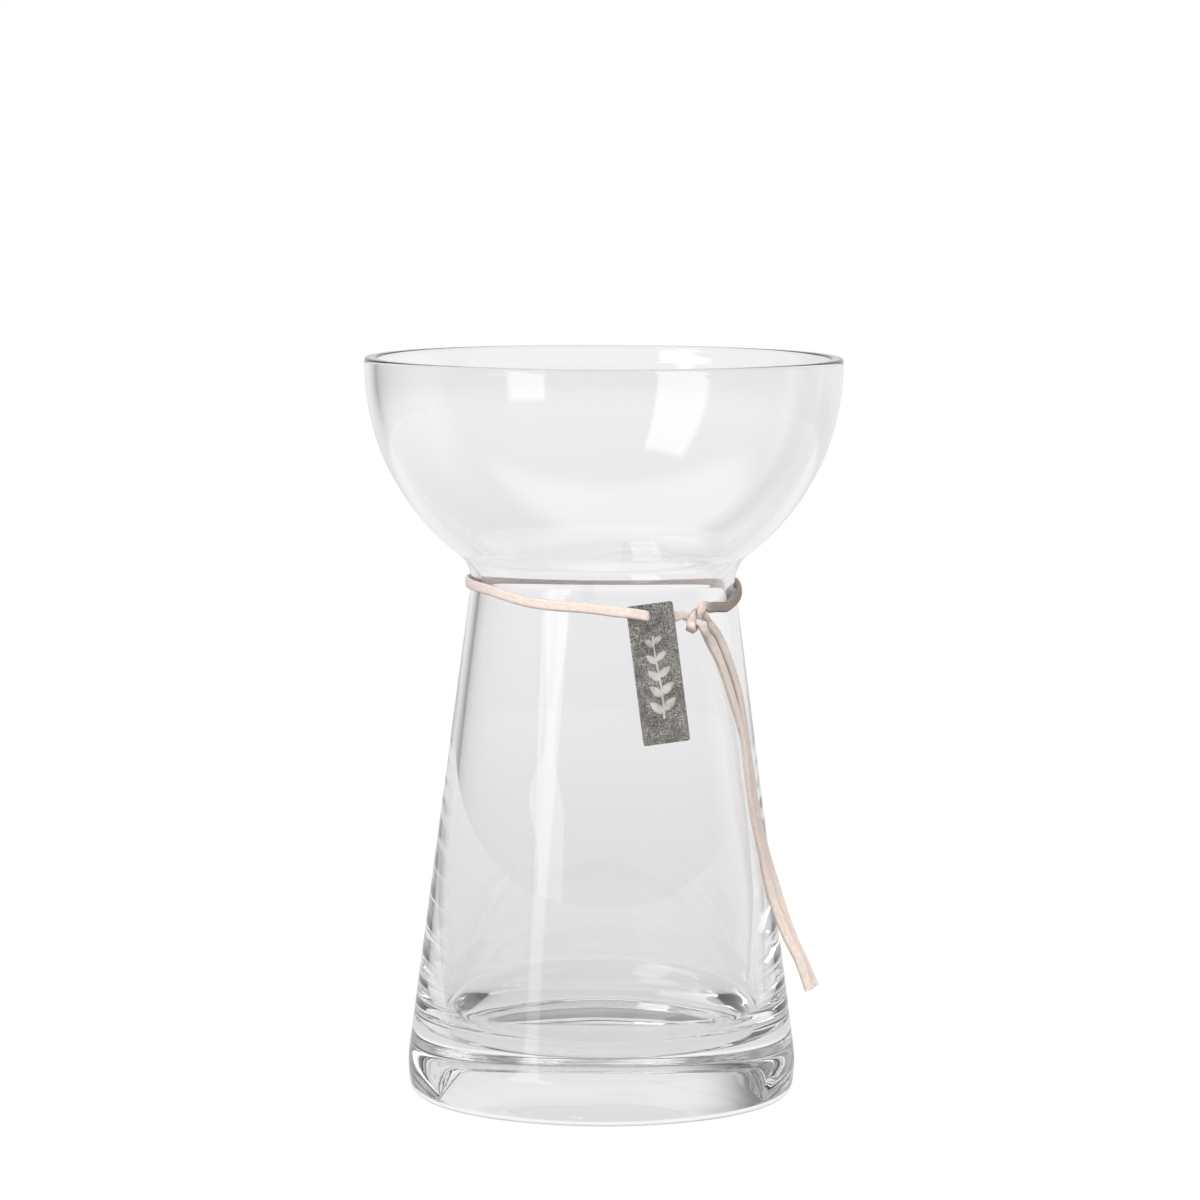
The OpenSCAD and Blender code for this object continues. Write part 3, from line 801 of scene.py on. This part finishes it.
class VASE_OT_tails(bpy.types.Operator):
    """Add the lace's two hanging tails"""
    bl_idname = "vase.tails"
    bl_label = "Lace tails"

    def execute(self, context):
        route = LaceRoute()
        suede = shared("brushed suede", suede_material)
        for name, stretch, flip in (("suede_tail_left", "tail_left", True),
                                    ("suede_tail_right", "tail_right", False)):
            rings = lace_rings(route, stretch, 16)
            obj = sweep(name, [rings])
            dress(obj, suede, "lace", "suede", "lace_" + stretch)
            path = [r[0] * MM for r in (reversed(rings) if flip else rings)][::4]
            path.append((rings[0] if flip else rings[-1])[0] * MM)
        return {"FINISHED"}


class VASE_OT_loop(bpy.types.Operator):
    """Add the lace's loop round the neck"""
    bl_idname = "vase.loop"
    bl_label = "Lace loop"

    def execute(self, context):
        suede = shared("brushed suede", suede_material)
        obj = sweep("suede_loop", [lace_rings(LaceRoute(), "loop", 12)])
        dress(obj, suede, "lace", "suede", "lace_loop")
        return {"FINISHED"}


class VASE_OT_knot(bpy.types.Operator):
    """Add the lace's overhand knot"""
    bl_idname = "vase.knot"
    bl_label = "Lace knot"

    def execute(self, context):
        route = LaceRoute()
        suede = shared("brushed suede", suede_material)
        obj = sweep("suede_knot", [lace_rings(route, "knot_left", 8),
                                   lace_rings(route, "knot_right", 8)])
        dress(obj, suede, "lace", "suede", "lace_knot")
        return {"FINISHED"}


class VASE_OT_glass(bpy.types.Operator):
    """Spin the vase's section into the glass"""
    bl_idname = "vase.glass"
    bl_label = "Glass"

    def execute(self, context):
        nothing_selected()
        shape = GlassShape()
        profile = glass_profile(shape)
        bpy.ops.mesh.primitive_plane_add(size=0.01, location=(0, 0, 0))
        obj = context.object
        obj.name = obj.data.name = "clear_glass"
        bpy.ops.object.mode_set(mode="EDIT")
        bpy.ops.mesh.select_all(action="SELECT")
        bpy.ops.mesh.merge(type="CENTER")
        at = Vector((0, 0, 0))
        for k, (r, z) in enumerate(profile):
            to = Vector((r * MM, 0, z * MM))
            if k == 0:
                bpy.ops.transform.translate(value=to - at)
            else:
                bpy.ops.mesh.extrude_region_move(TRANSFORM_OT_translate={"value": to - at})
            at = to
        bpy.ops.mesh.select_all(action="SELECT")
        bpy.ops.mesh.spin(steps=SPIN_STEPS, angle=2 * math.pi, center=(0, 0, 0), axis=(0, 0, 1))
        bpy.ops.mesh.select_all(action="SELECT")
        bpy.ops.mesh.remove_doubles(threshold=SPIN_WELD)
        bpy.ops.mesh.normals_make_consistent(inside=False)
        bpy.ops.object.mode_set(mode="OBJECT")
        ripple(obj.data, shape)
        nothing_selected()
        obj.select_set(True)
        context.view_layer.objects.active = obj
        bpy.ops.object.shade_smooth_by_angle(angle=math.radians(24))
        dress(obj, glass_material(), "vase", "glass", "vase")
        return {"FINISHED"}


SPRIG_TOP = -5.6
SPRIG_FOOT = 7.0
STEM_HALF = 0.48
STEM_SWAY = (0.35, 5.2)
LEAF_PAIRS = 5
LEAF_SIZE = (5.2, 1.5)
LEAF_LEAN = {-1: 46, 1: 52}
LEAF_STAGGER = 0.9
RIB = (0.28, 0.16)
TAG_CORNER = 0.8
TAG_BEVEL = 0.22
TAG_VOXEL = 0.13
DENTS = ((0.9, 0.10), (2.1, 0.08), (4.3, 0.05))


def sprig_height(x, z, length):
    """How far the sprig stands up at a place on the tag's face in millimetres, from 0 to 1."""
    best = 0.0
    top, bottom = SPRIG_TOP, -length + SPRIG_FOOT
    if bottom < z < top:
        share = (z - bottom) / (top - bottom)
        stem = STEM_HALF * (1 - 0.35 * share)
        bend = STEM_SWAY[0] * math.sin(share * STEM_SWAY[1])
        best = max(best, 1 - (abs(x - bend) / stem) ** 2)
    for k in range(LEAF_PAIRS):
        share = (k + 0.35) / LEAF_PAIRS
        root = bottom + (top - bottom) * share
        bend = STEM_SWAY[0] * math.sin(share * STEM_SWAY[1])
        size = 1 - 0.4 * share
        for side, lean in LEAF_LEAN.items():
            ux, uz = side * sind(lean), cosd(lean)
            px, pz = x - bend, z - root - (LEAF_STAGGER if side > 0 else 0)
            along, across = px * ux + pz * uz, px * uz - pz * ux
            reach, half = LEAF_SIZE[0] * size, LEAF_SIZE[1] * size
            if 0.1 < along < reach:
                edge = half * math.sin(math.pi * (along / reach) ** 0.8) ** 0.75
                if edge > 0.02 and abs(across) < edge:
                    crown = (1 - (abs(across) / edge) ** 2) ** 0.5
                    rib = RIB[0] * math.exp(-(across / RIB[1]) ** 2)
                    best = max(best, crown * 0.95 - rib)
    return max(0.0, best)


def share_of(value):
    return min(1.0, max(0.0, value))


class VASE_OT_tag(bpy.types.Operator):
    """Add the hammered metal tag with its raised sprig"""
    bl_idname = "vase.tag"
    bl_label = "Metal tag"

    def execute(self, context):
        nothing_selected()
        t = settings("vase_tag")
        w, h, d = t.width / MM, t.length / MM, t.thickness / MM
        bpy.ops.mesh.primitive_cube_add(size=1, location=(0, 0, 0))
        obj = context.object
        obj.name = obj.data.name = "pewter_tag"
        for v in obj.data.vertices:
            v.co = Vector((v.co.x * w, v.co.y * d, v.co.z * h + TAG_HOLE_DROP - h / 2))
        bpy.ops.object.mode_set(mode="EDIT")
        bpy.ops.mesh.select_all(action="DESELECT")
        bpy.ops.object.mode_set(mode="OBJECT")
        for e in obj.data.edges:
            a, b = (obj.data.vertices[i].co for i in e.vertices)
            e.select = abs(a.y - b.y) > d / 2
        bpy.ops.object.mode_set(mode="EDIT")
        bpy.ops.mesh.bevel(offset=TAG_CORNER, segments=5)
        bpy.ops.object.mode_set(mode="OBJECT")
        self.cut_hole(context, obj, d)
        self.refine(obj)
        self.hammer(obj, w, h, d, t.relief / MM)
        route = LaceRoute()
        place = (Matrix.Translation(route.hole)
                 @ Matrix.Rotation(math.radians(TAG_AZ - TAG_PROUD), 4, "Z")
                 @ Matrix.Rotation(math.radians(TAG_EASE - route.shape.cone_a), 4, "X")
                 @ Matrix.Rotation(math.radians(-TAG_SWING), 4, "Y"))
        obj.data.transform(Matrix.Scale(MM, 4) @ place)
        nothing_selected()
        obj.select_set(True)
        context.view_layer.objects.active = obj
        bpy.ops.object.shade_smooth_by_angle(angle=math.radians(40))
        dress(obj, pewter_material(), "tag", "pewter", "tag")
        return {"FINISHED"}

    def cut_hole(self, context, obj, d):
        nothing_selected()
        bpy.ops.mesh.primitive_cylinder_add(vertices=64, radius=TAG_HOLE_D / 2, depth=d + 2,
                                            location=(0, 0, 0), rotation=(math.pi / 2, 0, 0))
        cutter = context.object
        nothing_selected()
        obj.select_set(True)
        context.view_layer.objects.active = obj
        hole = obj.modifiers.new("hole", "BOOLEAN")
        hole.operation, hole.object, hole.solver = "DIFFERENCE", cutter, "EXACT"
        bpy.ops.object.modifier_apply(modifier="hole")
        bpy.data.objects.remove(cutter)

    def refine(self, obj):
        """Soft edges, then a close even mesh for the hammering."""
        bevel = obj.modifiers.new("bevel", "BEVEL")
        bevel.width, bevel.segments, bevel.limit_method = TAG_BEVEL, 2, "ANGLE"
        bevel.angle_limit = math.radians(60)
        bpy.ops.object.modifier_apply(modifier="bevel")
        remesh = obj.modifiers.new("remesh", "REMESH")
        remesh.mode, remesh.voxel_size = "VOXEL", TAG_VOXEL
        bpy.ops.object.modifier_apply(modifier="remesh")

    def hammer(self, obj, w, h, d, relief):
        """Raise the sprig and press the dents, fading out at the rim and round the hole."""
        raised = []
        for v in obj.data.vertices:
            x, y, z = v.co
            front = share_of((-y - d / 2 + 0.35) / 0.3)
            back = share_of((y - d / 2 + 0.35) / 0.3)
            edge = share_of(min(w / 2 - abs(x), z - TAG_HOLE_DROP + h, TAG_HOLE_DROP - z) / 0.9)
            edge *= share_of((math.hypot(x, z) - TAG_HOLE_D / 2 - 0.1) / 0.6)
            up = sprig_height(x, z, h - TAG_HOLE_DROP) if front > 0 else 0.0
            p = Vector((x, z, 4.0 * (y > 0)))
            dent = sum(deep * noise.noise(p * fine) for fine, deep in DENTS)
            v.co.y -= front * edge * (relief * up + dent * (1 - 0.5 * up) - 0.12)
            v.co.y += back * edge * (dent - 0.1)
            raised.append(min(1.0, up * front + 0.35 * max(0.0, dent) * 6 * (1 - up)))
        layer = obj.data.attributes.new("raised", "FLOAT", "POINT")
        layer.data.foreach_set("value", raised)


LIGHT_BOUNCES = 24
FLOOR_DROP = 0.0002
FLOOR_WHITE = 0.96
FLOOR_PAINTED_SHADE = (0.26, 0.142)
KEY_PLACE = (-50, 36)
FILL_PLACE = (25, 44)
AMBIENT = 0.1
WINDOW_SIDES = (-48, -37)
WINDOW_WIDER = (-10, 9)
WINDOW_RISE = (-14, 46)
ROOM_GLOW = (0.22, 0.08)
TABLE_GLOW = 0.55
CEILING_GLOW = 1.15
DROP_SHARE = 0.88


class VASE_OT_stage(bpy.types.Operator):
    """Add the pale floor and the studio light"""
    bl_idname = "vase.stage"
    bl_label = "Stage"

    def execute(self, context):
        s = settings("vase_stage")
        nothing_selected()
        bpy.ops.mesh.primitive_circle_add(vertices=128, radius=s.floor_radius, fill_type="NGON",
                                          location=(0, 0, -FLOOR_DROP))
        floor = context.object
        floor.name = floor.data.name = "floor"
        floor.data.transform(floor.matrix_world)
        floor.matrix_world = Matrix.Identity(4)
        floor.data.materials.append(floor_material())
        studio_world(context.scene)
        bounces = context.scene.cycles
        bounces.max_bounces = bounces.transmission_bounces = bounces.glossy_bounces = LIGHT_BOUNCES
        context.scene.view_settings.view_transform = "Standard"
        context.scene.view_settings.look = "None"
        return {"FINISHED"}


def floor_material():
    """Pale floor: glows evenly white to the eye, glows greyer through the glass with a painted
    shadow deepening towards the vase, dim where it only lights.
    """
    backdrop = settings("vase_stage").backdrop
    m = bpy.data.materials.new("plain pale floor")
    tree = blank_tree(m)
    ray = tree.nodes.new("ShaderNodeLightPath").outputs
    place = tree.nodes.new("ShaderNodeTexCoord").outputs["Object"]
    away = node(tree, "ShaderNodeVectorMath", operation="LENGTH", in_0=place).outputs["Value"]
    # Through the glass: greyer all over, with a painted shadow deepening towards the vase
    near, far = (backdrop - g for g in FLOOR_PAINTED_SHADE)
    own = choose(tree, ray["Is Camera Ray"], ramp(tree, away, 0.05, 0.8, near, far), FLOOR_WHITE)
    own = times(tree, own, maths(tree, "SUBTRACT", 1.0, ray["Is Diffuse Ray"]))
    glow = node(tree, "ShaderNodeEmission", in_Color=(1, 1, 1, 1), in_Strength=own).outputs[0]
    share = line(tree, ray["Is Diffuse Ray"], 0.1, 0.08)
    pale = node(tree, "ShaderNodeCombineColor", in_0=share, in_1=share, in_2=share).outputs[0]
    matt = node(tree, "ShaderNodeBsdfDiffuse", in_Color=pale).outputs[0]
    both = tree.nodes.new("ShaderNodeAddShader")
    tree.links.new(glow, both.inputs[0])
    tree.links.new(matt, both.inputs[1])
    out = tree.nodes.new("ShaderNodeOutputMaterial")
    tree.links.new(both.outputs[0], out.inputs[0])
    return m


def studio_world(scene):
    """Light from all round: what lights the object, what shows through it and what it mirrors."""
    s = settings("vase_stage")
    world = bpy.data.worlds.new("soft studio")
    scene.world = world
    tree = blank_tree(world)
    ray = tree.nodes.new("ShaderNodeLightPath").outputs
    way = tree.nodes.new("ShaderNodeTexCoord").outputs["Generated"]
    split = node(tree, "ShaderNodeSeparateXYZ", in_0=way).outputs
    rise = maths(tree, "ARCSINE", split[2])
    turn = maths(tree, "ARCTAN2", split[0], times(tree, split[1], -1.0))

    def by_rise(low, high, to_low=0.0, to_high=1.0):
        return ramp(tree, rise, math.radians(low), math.radians(high), to_low, to_high)

    def lamp(where, strength, narrow):
        to = around(where[0], cosd(where[1]), sind(where[1]))
        toward = node(tree, "ShaderNodeVectorMath", operation="DOT_PRODUCT", in_0=way, in_1=to)
        lobe = maths(tree, "POWER", maths(tree, "MAXIMUM", toward.outputs["Value"], 0.0), narrow)
        return times(tree, lobe, strength)

    # What lights the matt pieces
    light = plus(tree, lamp(KEY_PLACE, s.key, 3.0), lamp(FILL_PLACE, s.fill, 2.0))
    light = plus(tree, light, AMBIENT)

    # What shows through the glass
    horizon = by_rise(-10, -4, s.backdrop - 0.07, s.backdrop)
    overhead_glow = by_rise(50, 75, 0.0, 0.45)
    through = plus(tree, plus(tree, horizon, by_rise(12, 45, 0.0, -0.5)), overhead_glow)

    # What the glass mirrors: a window with wider stretches, in a dim room under a bright ceiling
    wide = plus(tree, by_rise(4, 10), by_rise(0, 3, 1.0, 0.0))
    wide_left = times(tree, wide, by_rise(-3, 0))
    left, right = (line(tree, w, math.radians(more), math.radians(side))
                   for w, more, side in zip((wide_left, wide), WINDOW_WIDER, WINDOW_SIDES))
    across = times(tree, maths(tree, "SUBTRACT", turn, left), maths(tree, "SUBTRACT", right, turn))
    low, high = WINDOW_RISE
    height = times(tree, by_rise(low - 2, low + 2), by_rise(high - 2, high + 2, 1.0, 0.0))
    window = times(tree, ramp(tree, across, 0.0, 0.008), height)
    overhead = line(tree, split[1], 0.9, split[2])
    rearward = line(tree, split[0], 0.5, split[1])
    ceiling = times(tree, ramp(tree, overhead, 0.45, 0.75, 0.0, CEILING_GLOW), by_rise(24, 44))
    ceiling = times(tree, ceiling, ramp(tree, rearward, 0.1, 0.5, 1.0, 0.0))
    room = plus(tree, by_rise(-5, 40, *ROOM_GLOW), by_rise(-14, -5, TABLE_GLOW, 0.0))
    room = plus(tree, room, ceiling)
    behind = ramp(tree, rearward, 0.4, 0.8)
    drop = times(tree, through, DROP_SHARE)
    mirrored = line(tree, window, s.window, choose(tree, behind, room, drop))

    lit = maths(tree, "GREATER_THAN", ray["Diffuse Depth"], 0.5)
    turned_back = maths(tree, "GREATER_THAN", ray["Glossy Depth"], 0.5)
    seen = choose(tree, turned_back, through, mirrored)
    value = choose(tree, lit, seen, light)
    value = choose(tree, ray["Is Camera Ray"], value, 1.0)
    back = node(tree, "ShaderNodeBackground", in_Color=(1, 1, 1, 1), in_Strength=value)
    out = tree.nodes.new("ShaderNodeOutputWorld")
    tree.links.new(back.outputs[0], out.inputs[0])


class VASE_PT_panel(bpy.types.Panel):
    """Buttons that build the vase piece by piece"""
    bl_idname = "VASE_PT_panel"
    bl_label = "Vase"
    bl_space_type = "VIEW_3D"
    bl_region_type = "UI"
    bl_category = "Vase"

    def draw(self, context):
        for group in GROUPS:
            box = self.layout.box()
            for prop in getattr(context.scene, group).bl_rna.properties:
                if prop.identifier not in ("rna_type", "name"):
                    box.prop(getattr(context.scene, group), prop.identifier)
        for operator in OPERATORS:
            self.layout.operator(operator.bl_idname)


GROUPS = {"vase_glass": GlassSettings, "vase_lace": LaceSettings, "vase_tag": TagSettings,
          "vase_stage": StageSettings}
OPERATORS = (VASE_OT_camera, VASE_OT_tails, VASE_OT_loop, VASE_OT_knot, VASE_OT_glass,
             VASE_OT_tag, VASE_OT_stage)


def register():
    for cls in (*GROUPS.values(), *OPERATORS, VASE_PT_panel):
        bpy.utils.register_class(cls)
    for name, cls in GROUPS.items():
        setattr(bpy.types.Scene, name, bpy.props.PointerProperty(type=cls))


def unregister():
    for name in GROUPS:
        delattr(bpy.types.Scene, name)
    for cls in reversed((*GROUPS.values(), *OPERATORS, VASE_PT_panel)):
        bpy.utils.unregister_class(cls)


def main():
    register()
    nothing_selected()
    bpy.ops.vase.camera()
    bpy.ops.vase.tails()
    bpy.ops.vase.loop()
    bpy.ops.vase.knot()
    bpy.ops.vase.glass()
    bpy.ops.vase.tag()
    bpy.ops.vase.stage()


if __name__ == "__main__":
    main()
